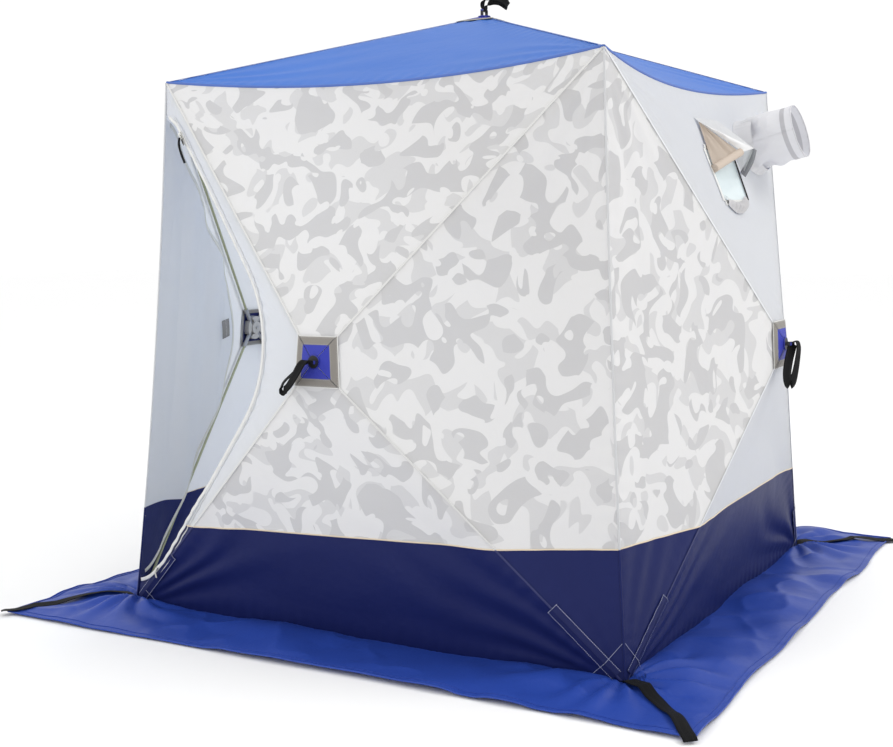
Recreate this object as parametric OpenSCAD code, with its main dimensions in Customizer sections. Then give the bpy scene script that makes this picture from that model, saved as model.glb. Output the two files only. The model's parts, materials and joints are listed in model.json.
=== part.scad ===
// Pop-up cube ice fishing shelter. Four walls and a roof each carry a bistable hub
// with four sprung rods that push the fabric out into a shallow pyramid.
// Frame: origin at the centre of the ground square, +Z up, front wall faces -Y.

/* [Body] */
// Half of the base square, corner to centre line
base_half = 900; // [850:5:950]
// Half of the roof square
roof_half = 787; // [750:1:820]
// Height of the roof corners above the ground
wall_height = 1767; // [1650:1:1850]

/* [Faces] */
// How far a wall hub stands out from the plane of its four corners
wall_pop = 245; // [200:1:270]
// Height of a wall hub, measured up the wall plane
wall_hub_up = 874; // [820:1:930]
// How far the roof hub stands above the plane of its four corners
roof_pop = 247; // [200:1:270]
// Sag of each eave at mid length
eave_sag = 68; // [60:1:100]
// Hollow of each upright corner edge at mid length
upright_sag = 15; // [5:1:20]

/* [Fabric] */
// Thickness of the wall and roof panels
fabric_t = 2; // [1.5:0.5:3]
// Gap between neighbouring panels at the outer corners, along the edge
seam_gap = 10; // [8:1:14]
// Extra gap that opens towards the hub, so the panels clear each other as they fold
seam_gap_growth = 36; // [34:1:44]
// Half width of the unmoving fabric along an edge that does not sag
edge_band = 12; // [10:1:16]

/* [Frame] */
// Diameter of the fibreglass rods
rod_d = 9.5; // [8:0.5:11]
// Distance of a rod's hinge pin from the hub centre
pin_radius = 34; // [32:1:38]
// Diameter of the hinge pins
pin_d = 6; // [5:0.5:7]
// Diameter of the hub block
hub_d = 92; // [90:1:98]
// Distance from a rod's tip to the fabric corner
rod_tip_gap = 70; // [66:1:90]

/* [Door] */
// Radius of the door's round apex beside the hub
door_round = 350; // [320:5:360]
// Width of the gap for the zip, on each side of its centre line
zip_gap = 8; // [8:1:10]
// How far the open door stands back from its closed place, in degrees
door_swing = 114; // [100:1:115]

/* [Vent] */
// Width of the vent window
window_w = 250; // [200:5:260]
// Height of the vent window
window_h = 200; // [170:5:210]
// Length of the hood over the vent window
hood_len = 92; // [85:1:110]
// Outer diameter of the vent sleeve
sleeve_d = 176; // [160:2:180]
// Length of the vent sleeve
sleeve_len = 175; // [150:5:200]

/* [Skirt] */
// Width of the ground skirt
skirt_w = 300; // [250:10:350]
// Thickness of the skirt fabric
skirt_t = 2; // [2:0.5:4]
// Width of the corner straps
strap_w = 40; // [30:2:50]
// How far a strap reaches from the tent corner, along the diagonal
strap_len = 450; // [400:10:480]

/* [Hidden] */
FACES = ["front", "right", "back", "left", "roof"];
WALL_SIDES = ["lower", "right", "upper", "left"];
ROOF_SIDES = ["front", "right", "back", "left"];
RODS = ["rod_a", "rod_b", "rod_c", "rod_d"];

$fn = 48;
ROOF = 4;
lean = atan((base_half - roof_half) / wall_height);
slant = wall_height / cos(lean);
half_root = sqrt(0.5);

// Each face has its own plane: x to the right seen from outside, y up the face, z outwards.
function base_of(f) = f == ROOF ? roof_half : base_half;
function height_of(f) = f == ROOF ? 2 * roof_half : slant;
function hub_of(f) = f == ROOF ? [0, roof_half, roof_pop] : [0, wall_hub_up, wall_pop];
function corner(f, i) =
    i % 4 == 0 ? [-base_of(f), 0, 0] :
    i % 4 == 1 ? [base_of(f), 0, 0] :
    i % 4 == 2 ? [roof_half, height_of(f), 0] : [-roof_half, height_of(f), 0];

// Place of a face point in the tent's own frame.
function turn_z(p, k) =
    k % 4 == 0 ? p :
    k % 4 == 1 ? [-p.y, p.x, p.z] :
    k % 4 == 2 ? [-p.x, -p.y, p.z] : [p.y, -p.x, p.z];
function wall_point(p) =
    [p.x, -base_half + p.y * sin(lean) - p.z * cos(lean), p.y * cos(lean) + p.z * sin(lean)];
function placed(f, p) =
    f == ROOF ? [p.x, p.y - roof_half, wall_height + p.z] : turn_z(wall_point(p), f);
function all_placed(f, rows) = [for (row = rows) [for (p = row) placed(f, p)]];

// Sag of one outer edge, as a vector that both faces at that edge share.
function roof_dir(i) =
    [i == 3 ? half_root : i == 1 ? -half_root : 0,
     i == 0 ? half_root : i == 2 ? -half_root : 0, -half_root];
function wall_dir(i) =
    i == 2 ? [0, (sin(lean) - cos(lean)) * half_root, -(cos(lean) + sin(lean)) * half_root] :
    i == 0 ? [0, 0, 0] :
    [i == 3 ? half_root : -half_root, sin(lean) * half_root, -cos(lean) * half_root];
function sag_dir(f, i) = f == ROOF ? roof_dir(i) : wall_dir(i);
function sag_of(f, i) = f == ROOF || i == 2 ? eave_sag : i == 0 ? 0 : upright_sag;

// Triangle of one panel: its outer edge, its axes and its reach to the hub.
function unit(v) = v / norm(v);
function edge_vec(f, i) = corner(f, i + 1) - corner(f, i);
function edge_len(f, i) = norm(edge_vec(f, i));
function along(f, i) = unit(edge_vec(f, i));
function hub_along(f, i) = (hub_of(f) - corner(f, i)) * along(f, i);
function inward_vec(f, i) = hub_of(f) - corner(f, i) - hub_along(f, i) * along(f, i);
function reach(f, i) = norm(inward_vec(f, i));
function inward(f, i) = unit(inward_vec(f, i));
function outward(f, i) = cross(along(f, i), inward(f, i));

// A point of the sagging fabric: a along the edge, r towards the hub, off outwards.
function edge_place(f, i, a, t) = 2 * (a - hub_along(f, i) * t) / ((1 - t) * edge_len(f, i)) - 1;
function sag_at(f, i, s, t) = sag_of(f, i) * max(0, 1 - s * s) * pow(1 - t, 3);
function flat_point(f, i, a, r, off) =
    corner(f, i) + along(f, i) * a + inward(f, i) * r + outward(f, i) * off;
function fabric_point(f, i, a, r, off) =
    let (t = r / reach(f, i), s = edge_place(f, i, a, t))
    flat_point(f, i, a, r, off) + sag_dir(f, i) * sag_at(f, i, s, t);

// The fabric next to an edge stays with the tent's corners; the panel starts beyond it.
band_growth = 1.85;
function band_width(f, i, s) = edge_band + band_growth * sag_of(f, i) * (1 - s * s);
panel_tip = 0.805;
band_clear = 15;
function panel_row(f, i, s, v) =
    let (
        t0 = (band_width(f, i, s) + band_clear) / reach(f, i),
        t = t0 + (panel_tip - t0) * v,
        half = edge_len(f, i) / 2 * (1 - t) - seam_gap - seam_gap_growth * t,
        mid = edge_len(f, i) / 2 * (1 - t) + hub_along(f, i) * t
    ) [mid + s * half, t * reach(f, i)];
function sheet_points(f, i, rows, off) =
    [for (row = rows) [for (q = row) fabric_point(f, i, q.x, q.y, off)]];

// Closed shell between two grids of points that match row by row.
function quad_faces(a, b, c, d) = [[a, b, c], [a, c, d]];
function joined(lists) = [for (l = lists) for (x = l) x];
module shell(outer, inner) {
    n = len(outer);
    m = len(outer[0]);
    k = n * m;
    points = concat(joined(outer), joined(inner));
    outer_faces = [for (j = [0:n - 2], i = [0:m - 2])
        each quad_faces(j * m + i, j * m + i + 1, (j + 1) * m + i + 1, (j + 1) * m + i)];
    inner_faces = [for (j = [0:n - 2], i = [0:m - 2])
        each quad_faces(k + j * m + i, k + (j + 1) * m + i, k + (j + 1) * m + i + 1, k + j * m + i + 1)];
    row_ends = [for (j = [0:n - 2]) each concat(
        quad_faces(j * m, (j + 1) * m, k + (j + 1) * m, k + j * m),
        quad_faces((j + 1) * m + m - 1, j * m + m - 1, k + j * m + m - 1, k + (j + 1) * m + m - 1))];
    last = (n - 1) * m;
    column_ends = [for (i = [0:m - 2]) each concat(
        quad_faces(i + 1, i, k + i, k + i + 1),
        quad_faces(last + i, last + i + 1, k + last + i + 1, k + last + i))];
    polyhedron(points, concat(outer_faces, inner_faces, row_ends, column_ends), convexity = 6);
}
module sheet(f, i, rows, thick = fabric_t) {
    shell(all_placed(f, sheet_points(f, i, rows, thick / 2)),
          all_placed(f, sheet_points(f, i, rows, -thick / 2)));
}
module on_face(f) {
    if (f == ROOF) translate([0, -roof_half, wall_height]) children();
    else rotate([0, 0, 90 * f]) translate([0, -base_half, 0]) rotate([90 - lean, 0, 0]) children();
}

// Panels
panel_cols = 8;
panel_rows = 5;
function panel_grid(f, i) =
    [for (j = [0:panel_cols]) [for (k = [0:panel_rows])
        panel_row(f, i, 2 * j / panel_cols - 1, k / panel_rows)]];
module panel(f, i) {
    sheet(f, i, panel_grid(f, i));
}
function panel_color(f, i) =
    f == ROOF ? "royalblue" :
    i == 0 ? "midnightblue" :
    f == 0 && i < 3 || f == 1 && i == 3 ? "gainsboro" : "white";

// Door, in the front wall's left panel. Its outline runs from the top of the
// corner edge, around a rounded apex beside the hub, to the foot of the corner edge.
DOOR_F = 0;
DOOR_I = 3;
door_len = edge_len(DOOR_F, DOOR_I);
door_reach = 610;
door_mid_shift = 43;
door_mid = door_len / 2 + door_mid_shift;
door_deep = door_reach - door_round;
door_start = 46;
door_end = 126;
arc_steps = 7;
function door_arc(g) =
    let (w = door_start + (door_end - door_start) * g)
    [door_len - door_mid - door_round * cos(w), door_deep + door_round * sin(w)];
// Distances of the outline's ends from the foot of the corner edge
door_edge = 60;
door_top_up = 1640;
door_foot_up = 100;
door_low_up = 184;
door_low_in = 157;
door_top = [door_len - door_top_up, door_edge];
door_low = [door_len - door_low_up, door_low_in];
door_foot = [door_len - door_foot_up, door_edge];
door_line = concat([door_top], [for (g = [0:arc_steps]) door_arc(g / arc_steps)], [door_low, door_foot]);
function line_normal(pts, j) =
    let (p = pts[max(0, j - 1)], q = pts[min(len(pts) - 1, j + 1)], d = unit(q - p)) [-d.y, d.x];
function door_offset(w) = [for (j = [0:len(door_line) - 1]) door_line[j] + line_normal(door_line, j) * w];
// Seam side of the door panel, at the same steps as the door's outline.
seam_top = panel_row(DOOR_F, DOOR_I, -1, 0);
seam_foot = panel_row(DOOR_F, DOOR_I, 1, 0);
tip_top = panel_row(DOOR_F, DOOR_I, -1, 1);
tip_foot = panel_row(DOOR_F, DOOR_I, 1, 1);
door_outer = concat(
    [for (g = [0:4]) seam_top + (tip_top - seam_top) * (1 - pow(1 - g / 4, 2))],
    [for (g = [0:5]) tip_foot + (seam_foot - tip_foot) * pow(g / 5, 1.5)]);
function door_rib(j) =
    let (p = door_offset(zip_gap)[j], q = door_outer[j]) [for (g = [0:2]) p + (q - p) * g / 2];
module door_frame_panel() {
    sheet(DOOR_F, DOOR_I, [for (j = [0:len(door_line) - 1]) door_rib(j)]);
}
// The flap starts clear of the corner edge, so it can lie back against the left wall.
flap_root = 95;
function flap_rib(j) =
    let (p = door_offset(-zip_gap)[j], q = [p.x, flap_root]) [for (g = [0:4]) q + (p - q) * g / 4];
function flap_rows(off) =
    [for (j = [1:len(door_line) - 2]) [for (q = flap_rib(j)) flat_point(DOOR_F, DOOR_I, q.x, q.y, off)]];
module closed_flap() {
    shell(all_placed(DOOR_F, flap_rows(fabric_t / 2)), all_placed(DOOR_F, flap_rows(-fabric_t / 2)));
}
door_axis_foot = placed(DOOR_F, corner(DOOR_F, 4));
door_axis_top = placed(DOOR_F, corner(DOOR_F, 3));
module door_flap() {
    color("whitesmoke")
    translate(door_axis_foot)
    rotate(a = door_swing, v = door_axis_top - door_axis_foot)
    translate(-door_axis_foot)
    closed_flap();
}
slider_size = [30, 11, 8];
slider_eye_d = 7;
slider_eye_w = 6;
pull_size = [44, 6, 2];
slider_from_top = [45, 44];
module door_zip_slider() {
    start = door_top + slider_from_top;
    p = fabric_point(DOOR_F, DOOR_I, start.x, start.y, 0);
    q = fabric_point(DOOR_F, DOOR_I, door_arc(0).x, door_arc(0).y, 0);
    d = unit(q - p);
    color("silver")
    on_face(DOOR_F)
    translate(p)
    rotate([0, 0, atan2(d.y, d.x)])
    rotate([0, -asin(d.z), 0])
    union() {
        cube(slider_size, center = true);
        translate([0, 0, slider_size.z / 2 + 1.5]) rotate([90, 0, 0])
            cylinder(h = slider_eye_w, d = slider_eye_d, center = true);
        translate([20, 0, slider_size.z / 2 + 2.5]) cube(pull_size, center = true);
    }
}

// Frame of one face
rod_drop_hub = 26;
rod_drop_corner = 12;
slot_w = 17;
ferrule_d = 15;
ferrule_len = 70;
ferrule_back = 9;
bore_clear = 0.05;
tip_cap_len = 45;
tip_cap_d = 13;
hub_t = 24;
function hub_flat(f) = [hub_of(f).x, hub_of(f).y];
function rod_azimuth(f, i) = let (c = corner(f, i) - hub_of(f)) atan2(c.y, c.x);
function rod_run(f, i) = norm([corner(f, i).x, corner(f, i).y] - hub_flat(f)) - pin_radius;
function rod_fall(f, i) = atan((hub_of(f).z - rod_drop_hub + rod_drop_corner) / rod_run(f, i));
function rod_len(f, i) = rod_run(f, i) / cos(rod_fall(f, i)) - rod_tip_gap;
module at_rod(f, i) {
    on_face(f)
    translate(hub_of(f) - [0, 0, rod_drop_hub])
    rotate([0, 0, rod_azimuth(f, i)])
    translate([pin_radius, 0, 0])
    children();
}
module rod(f, i) {
    color("darkkhaki")
    at_rod(f, i)
    rotate([0, rod_fall(f, i), 0]) {
        difference() {
            union() {
                translate([-ferrule_back, 0, 0]) rotate([0, 90, 0])
                    cylinder(h = ferrule_len + ferrule_back, d = ferrule_d);
                rotate([0, 90, 0]) cylinder(h = rod_len(f, i) - tip_cap_len / 2, d = rod_d);
                translate([rod_len(f, i) - tip_cap_len, 0, 0]) rotate([0, 90, 0])
                    cylinder(h = tip_cap_len, d = tip_cap_d);
            }
            rotate([90, 0, 0]) cylinder(h = 30, r = pin_d / 2 + bore_clear, center = true);
        }
    }
}
module hub(f) {
    slot_start = 22;
    pin_over = 6;
    cap_d = 50;
    cap_t = 6;
    bolt_d = 13;
    stem_d = 30;
    plate_d = 44;
    plate_t = 3;
    ear_h = 24;
    ear_x = 17;
    color("dimgray")
    on_face(f)
    translate(hub_of(f)) {
        // Block with a slot for each rod, and the pins across the slots
        translate([0, 0, -rod_drop_hub]) {
            difference() {
                cylinder(h = hub_t, d = hub_d, center = true);
                for (i = [0:3]) rotate([0, 0, rod_azimuth(f, i)])
                    translate([slot_start, -slot_w / 2, -hub_t]) cube([hub_d, slot_w, 2 * hub_t]);
            }
            for (i = [0:3]) rotate([0, 0, rod_azimuth(f, i)]) translate([pin_radius, 0, 0])
                rotate([90, 0, 0]) cylinder(h = slot_w + pin_over, d = pin_d, center = true);
            // Inner cap and bolt head
            translate([0, 0, -hub_t / 2 - cap_t + 1]) cylinder(h = cap_t, d = cap_d);
            translate([0, 0, -hub_t / 2 - 2 * cap_t + 2]) cylinder(h = cap_t, d = bolt_d);
        }
        // Stem through the fabric and outer plate
        translate([0, 0, -rod_drop_hub]) cylinder(h = rod_drop_hub + 1, d = stem_d);
        cylinder(h = plate_t, d = plate_d);
        // Eye that carries the pull loop
        rotate([0, 0, f == ROOF ? 90 : 0]) {
            for (x = [-ear_x, ear_x]) translate([x - 2, -5, 1]) cube([4, 10, ear_h]);
            translate([0, 0, loop_axis]) rotate([0, 90, 0]) cylinder(h = 2 * ear_x, d = 5, center = true);
        }
    }
}
loop_axis = 19;
loop_hole = 16;
loop_band = 3;
loop_w = 25;
loop_len = 100;
module loop_outline(w) {
    circle(d = w);
    translate([loop_len, 0]) circle(d = w);
    translate([0, -w / 2]) square([loop_len, w]);
}
module pull_loop(f) {
    color("black")
    on_face(f)
    translate(hub_of(f) + [0, 0, loop_axis])
    rotate([0, 0, f == ROOF ? 90 : 0])
    rotate([0, 90, 0])
    rotate([0, 0, -90])
    linear_extrude(height = loop_w, center = true)
    difference() {
        loop_outline(loop_hole + 2 * loop_band);
        loop_outline(loop_hole);
    }
}

// Edges and ground pieces that stay with the corners
band_steps = 10;
band_end = 0.985;
function band_rib(f, i, g, s) =
    let (w = band_width(f, i, s), t = w * g / reach(f, i))
    fabric_point(f, i, (1 + s) / 2 * edge_len(f, i) * (1 - t) + hub_along(f, i) * t, w * g, 0);
function band_section(fa, ia, fb, ib, s) = concat(
    [for (g = [1, 0.5, 0]) placed(fa, band_rib(fa, ia, g, s))],
    [for (g = [0.5, 1]) placed(fb, band_rib(fb, ib, g, -s))]);
module edge_band_strip(fa, ia, fb, ib, dir) {
    outer = [for (j = [0:band_steps]) band_section(fa, ia, fb, ib, band_end * (2 * j / band_steps - 1))];
    inner = [for (row = outer) [for (p = row) p + dir * fabric_t * 1.5]];
    shell(inner, outer);
}
module eave_bands() {
    color("lightgray")
    for (k = [0:3])
        edge_band_strip(k, 2, ROOF, k, turn_z([0, half_root, -half_root], k));
}
module upright_bands() {
    color("lightgray")
    for (k = [0:3])
        edge_band_strip(k, 1, (k + 1) % 4, 3, turn_z([-half_root, half_root, 0], k));
}
pocket_d = 22;
pocket_h = 8;
module rod_pockets() {
    color("slategray")
    for (k = [0:3]) {
        translate([0, 0, skirt_t + 0.2] + placed(k, corner(k, 1))) cylinder(h = pocket_h, d = pocket_d);
        translate(placed(k, corner(k, 2))) cylinder(h = pocket_h, d = pocket_d, center = true);
    }
}
module skirt() {
    out = 2 * (base_half + skirt_w);
    in = 2 * base_half - 16;
    color("royalblue")
    linear_extrude(height = skirt_t)
    difference() {
        square([out, out], center = true);
        square([in, in], center = true);
    }
}
module corner_straps() {
    strap_t = 2;
    color("black")
    for (k = [0:3]) rotate([0, 0, 90 * k])
        translate([base_half + 10, base_half + 10, skirt_t + 0.2]) rotate([0, 0, 45])
        translate([0, -strap_w / 2, 0]) cube([strap_len, strap_w, strap_t]);
}

// Vent, in the right wall's upper panel, placed by distances from that panel's eave
VENT_F = 1;
VENT_I = 2;
window_mid = [745, 336];
sleeve_mid = [400, 226];
function around_window(w, h) =
    [for (x = [-1, -0.5, 0, 0.5, 1]) [for (y = [-1, 0, 1]) window_mid + [x * w / 2, y * h / 2]]];
cut_depth = 20;
module window_cut() {
    shell(all_placed(VENT_F, sheet_points(VENT_F, VENT_I, around_window(window_w, window_h), cut_depth)),
          all_placed(VENT_F, sheet_points(VENT_F, VENT_I, around_window(window_w, window_h), -cut_depth)));
}
module vent_window() {
    color("lightcyan", 0.5)
    sheet(VENT_F, VENT_I, around_window(window_w - 2, window_h - 2), 1);
}
sleeve_rise = 16;
module at_sleeve() {
    translate(placed(VENT_F, fabric_point(VENT_F, VENT_I, sleeve_mid.x, sleeve_mid.y, 0)))
    rotate([0, 90 - sleeve_rise, 0])
    children();
}
sleeve_t = 3;
sleeve_in = 30;
module vent_sleeve() {
    color("white")
    at_sleeve()
    translate([0, 0, -sleeve_in])
    difference() {
        cylinder(h = sleeve_len + sleeve_in, d = sleeve_d);
        translate([0, 0, -1]) cylinder(h = sleeve_len + sleeve_in + 2, d = sleeve_d - 2 * sleeve_t);
    }
}
sleeve_cut_len = 160;
module sleeve_cut() {
    at_sleeve() cylinder(h = sleeve_cut_len, d = sleeve_d + 1, center = true);
}
module vent_panel() {
    difference() {
        panel(VENT_F, VENT_I);
        window_cut();
        sleeve_cut();
    }
}
hood_open = 72;
hood_w = 250;
hood_lift = 12;
hood_hinge = [730, 234];
module vent_hood() {
    hinge = fabric_point(VENT_F, VENT_I, hood_hinge.x, hood_hinge.y, hood_lift);
    fall = atan2(inward(VENT_F, VENT_I).z, -inward(VENT_F, VENT_I).y);
    color("linen")
    on_face(VENT_F)
    translate(hinge)
    rotate([-(hood_open + fall), 0, 0])
    translate([-hood_w / 2, -hood_len, 0]) cube([hood_w, hood_len, 2]);
}

skirt();
corner_straps();
rod_pockets();
eave_bands();
upright_bands();
for (f = [0:4]) {
    hub(f);
    pull_loop(f);
    for (i = [0:3]) {
        rod(f, i);
        side = f == ROOF ? ROOF_SIDES[i] : WALL_SIDES[i];
        color(panel_color(f, i)) {
            if (f == DOOR_F && i == DOOR_I) door_frame_panel();
            else if (f == VENT_F && i == VENT_I) vent_panel();
            else panel(f, i);
        }
    }
}
door_flap();
door_zip_slider();
vent_hood();
vent_window();
vent_sleeve();
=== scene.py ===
import json
import math

import bpy
import numpy as np
from mathutils import Matrix, Vector


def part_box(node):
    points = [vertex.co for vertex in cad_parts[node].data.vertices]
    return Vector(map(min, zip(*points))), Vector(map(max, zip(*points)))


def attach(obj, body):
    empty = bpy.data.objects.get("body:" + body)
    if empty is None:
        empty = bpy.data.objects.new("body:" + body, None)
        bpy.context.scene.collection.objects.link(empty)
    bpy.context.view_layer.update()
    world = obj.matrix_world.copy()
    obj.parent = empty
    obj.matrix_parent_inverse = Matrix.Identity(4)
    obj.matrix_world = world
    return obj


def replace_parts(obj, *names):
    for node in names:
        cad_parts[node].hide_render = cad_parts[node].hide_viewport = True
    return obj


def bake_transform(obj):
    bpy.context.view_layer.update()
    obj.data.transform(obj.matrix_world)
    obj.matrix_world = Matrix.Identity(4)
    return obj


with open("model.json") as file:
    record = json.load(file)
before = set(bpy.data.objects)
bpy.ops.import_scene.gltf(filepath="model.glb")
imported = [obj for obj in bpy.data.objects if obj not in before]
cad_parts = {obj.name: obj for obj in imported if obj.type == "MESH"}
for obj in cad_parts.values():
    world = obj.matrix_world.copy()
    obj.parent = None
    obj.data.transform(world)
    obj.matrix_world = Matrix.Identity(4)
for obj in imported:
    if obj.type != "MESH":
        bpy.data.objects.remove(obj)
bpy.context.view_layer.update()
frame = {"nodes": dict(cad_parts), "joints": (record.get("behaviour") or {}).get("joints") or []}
scene = bpy.context.scene
scene.view_settings.view_transform = "Standard"

# ---- camera
CAMERA_PLACE = (2.25, -4.2675, 1.2709)
CAMERA_TURN = (29.575, 6.21, -0.71)  # yaw, pitch down and roll, in degrees
CAMERA_LENS = 53.66


def make_camera():
    yaw, pitch, roll = (math.radians(v) for v in CAMERA_TURN)
    ahead = Vector((-math.sin(yaw) * math.cos(pitch), math.cos(yaw) * math.cos(pitch), -math.sin(pitch)))
    level = Vector((math.cos(yaw), math.sin(yaw), 0))
    above = level.cross(ahead)
    right = level * math.cos(roll) + above * math.sin(roll)
    up = above * math.cos(roll) - level * math.sin(roll)
    data = bpy.data.cameras.new("camera")
    data.lens = CAMERA_LENS
    data.sensor_width = 36
    camera = bpy.data.objects.new("camera", data)
    place = Matrix((right, up, -ahead)).transposed().to_4x4()
    place.translation = CAMERA_PLACE
    camera.matrix_world = place
    scene.collection.objects.link(camera)
    scene.camera = camera


make_camera()

# ---- numbers and small helpers
JOINTS = {j["name"]: j for j in frame["joints"]}
WALLS = ("front", "right", "back", "left")
FACES = WALLS + ("roof",)
WALL_SIDES = ("lower", "right", "upper", "left")
ROOF_SIDES = WALLS
EAVE_SAG = 0.068  # how far each edge's middle hangs in from a straight line
UPRIGHT_SAG = 0.015
LOOP_RISE = 0.019  # from the four panels' meeting point out to the pull loop's pin
CLOTH_TOP = 0.985  # how far up to the hub the cloth goes, as a share of the reach
SEAM_REACH = 0.06  # how far from a seam the cloth is held flat by it
FAN_REACH = 0.18  # how far from a corner its fan of folds is largest
UP = np.array([0, 0, 1.0])


def unit(v):
    """A vector, or each row of several, scaled to length 1."""
    return v / np.linalg.norm(v, axis=-1, keepdims=True)


LATTICE = np.random.RandomState(7).rand(64, 64) * 2 - 1


def soft_noise(x, y, seed=0):
    """Smooth value noise from -1 to 1, the same each run."""
    x, y = np.asarray(x, float) + 17.31 * seed, np.asarray(y, float) + 9.17 * seed
    i, j = np.floor(x).astype(int), np.floor(y).astype(int)
    u, v = x - i, y - j
    u, v = u ** 3 * (u * (u * 6 - 15) + 10), v ** 3 * (v * (v * 6 - 15) + 10)
    n = [LATTICE[(i + di) % 64, (j + dj) % 64] for di, dj in ((0, 0), (1, 0), (0, 1), (1, 1))]
    return (n[0] * (1 - u) + n[1] * u) * (1 - v) + (n[2] * (1 - u) + n[3] * u) * v


def smooth_step(x):
    x = np.clip(x, 0, 1)
    return x * x * (3 - 2 * x)


CLOTH_MAPS = {}  # each mesh's cloth map, a row for each point


def add_map(mesh, label, values):
    """A UV map from a place for each point of the mesh."""
    values = np.asarray(values, np.float32).reshape(-1, 2)
    corner = np.zeros(len(mesh.loops), np.int32)
    mesh.loops.foreach_get("vertex_index", corner)
    mesh.uv_layers.new(name=label).data.foreach_set("uv", values[corner].ravel())
    return values


def add_mesh(name, points, faces, material, maps=None):
    mesh = bpy.data.meshes.new(name)
    points = np.asarray(points, float).reshape(-1, 3)
    mesh.from_pydata(points.tolist(), [], [list(map(int, f)) for f in faces])
    for label, values in (maps or {}).items():
        CLOTH_MAPS.setdefault(name, add_map(mesh, label, values))
    mesh.polygons.foreach_set("use_smooth", [True] * len(mesh.polygons))
    mesh.materials.append(material)
    obj = bpy.data.objects.new(name, mesh)
    scene.collection.objects.link(obj)
    return obj


def grid_faces(rows, cols, wrap=False):
    """Quads of a grid of rows x cols points; wrap closes each row on itself."""
    last = cols if wrap else cols - 1
    return [(j * cols + i, j * cols + (i + 1) % cols, (j + 1) * cols + (i + 1) % cols, (j + 1) * cols + i)
            for j in range(rows - 1) for i in range(last)]


def add_grid(name, points, material, u, v, wrap=False, **maps):
    """A sheet over a grid of points, with u and v as its cloth map."""
    maps = {"cloth": np.stack(np.broadcast_arrays(u, v), -1), **maps}
    return add_mesh(name, points, grid_faces(*points.shape[:2], wrap), material, maps)


def smooth_path(points, steps=12):
    """A Catmull-Rom curve through the points."""
    p = [np.asarray(q, float) for q in points]
    p = [2 * p[0] - p[1]] + p + [2 * p[-1] - p[-2]]
    out = []
    for k in range(1, len(p) - 2):
        for t in np.arange(steps) / steps:
            out.append(0.5 * (2 * p[k] + (p[k + 1] - p[k - 1]) * t
                              + (2 * p[k - 1] - 5 * p[k] + 4 * p[k + 1] - p[k + 2]) * t ** 2
                              + (3 * p[k] - p[k - 1] - 3 * p[k + 1] + p[k + 2]) * t ** 3))
    return np.array(out + [p[-2]])


def lengths(path):
    return np.concatenate([[0], np.cumsum(np.linalg.norm(np.diff(path, axis=0), axis=1))])


def resample(path, count):
    d = lengths(path)
    want = np.linspace(0, d[-1], count)
    return np.stack([np.interp(want, d, path[:, k]) for k in range(path.shape[1])], 1)


def swept(name, path, side, up, ring, material):
    """A ring of x, y and cloth map places, carried along path with x towards side and y towards up."""
    x, y, u = np.array(ring).T[:, None]
    points = path[:, None] + side[:, None] * x[..., None] + up[:, None] * y[..., None]
    rows, n = points.shape[:2]
    faces = grid_faces(rows, n, wrap=True)
    faces += [tuple(range(n))[::-1], tuple(range((rows - 1) * n, rows * n))]
    uv = np.stack(np.broadcast_arrays(u, lengths(path)[:, None]), -1)
    return add_mesh(name, points, faces, material, {"cloth": uv})


def ribbon(name, path, across, width, thick, material, cells=4):
    """A flat strap with rounded edges along path; across is its width direction at each point."""
    path = np.asarray(path, float)
    across = np.broadcast_to(np.asarray(across, float), path.shape)
    ahead = unit(np.gradient(path, axis=0))
    across = unit(across - (across * ahead).sum(1)[:, None] * ahead)
    x = np.linspace(-0.5, 0.5, cells + 1)
    ring = [(q * width, side * thick / 2 * (1 - 0.5 * (abs(q) > 0.45)), q * width)
            for side, row in ((1, x), (-1, x[::-1])) for q in row]
    return swept(name, path, across, np.cross(across, ahead), ring, material)


def tube(name, path, radius, material, sides=8):
    path = np.asarray(path, float)
    ahead = unit(np.gradient(path, axis=0))
    side = unit(np.cross(ahead, unit(np.array([0.31, 0.42, 0.85]))))
    turns = np.arange(sides) * 2 * math.pi / sides
    ring = [(radius * math.cos(w), radius * math.sin(w), radius * w) for w in turns]
    return swept(name, path, side, np.cross(side, ahead), ring, material)


def joined(name, objs):
    """One object from several, each with its own material."""
    points, faces, uv, index, materials = [], [], [], [], []
    for obj in objs:
        mesh, base = obj.data, len(points)
        if mesh.materials[0] not in materials:
            materials.append(mesh.materials[0])
        points += [v.co[:] for v in mesh.vertices]
        faces += [[base + k for k in p.vertices] for p in mesh.polygons]
        index += [materials.index(mesh.materials[0])] * len(mesh.polygons)
        uv.append(CLOTH_MAPS[obj.name])
        bpy.data.objects.remove(obj)
    obj = add_mesh(name, points, faces, materials[0], {"cloth": np.concatenate(uv)})
    for extra in materials[1:]:
        obj.data.materials.append(extra)
    obj.data.polygons.foreach_set("material_index", index)
    return obj


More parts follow.
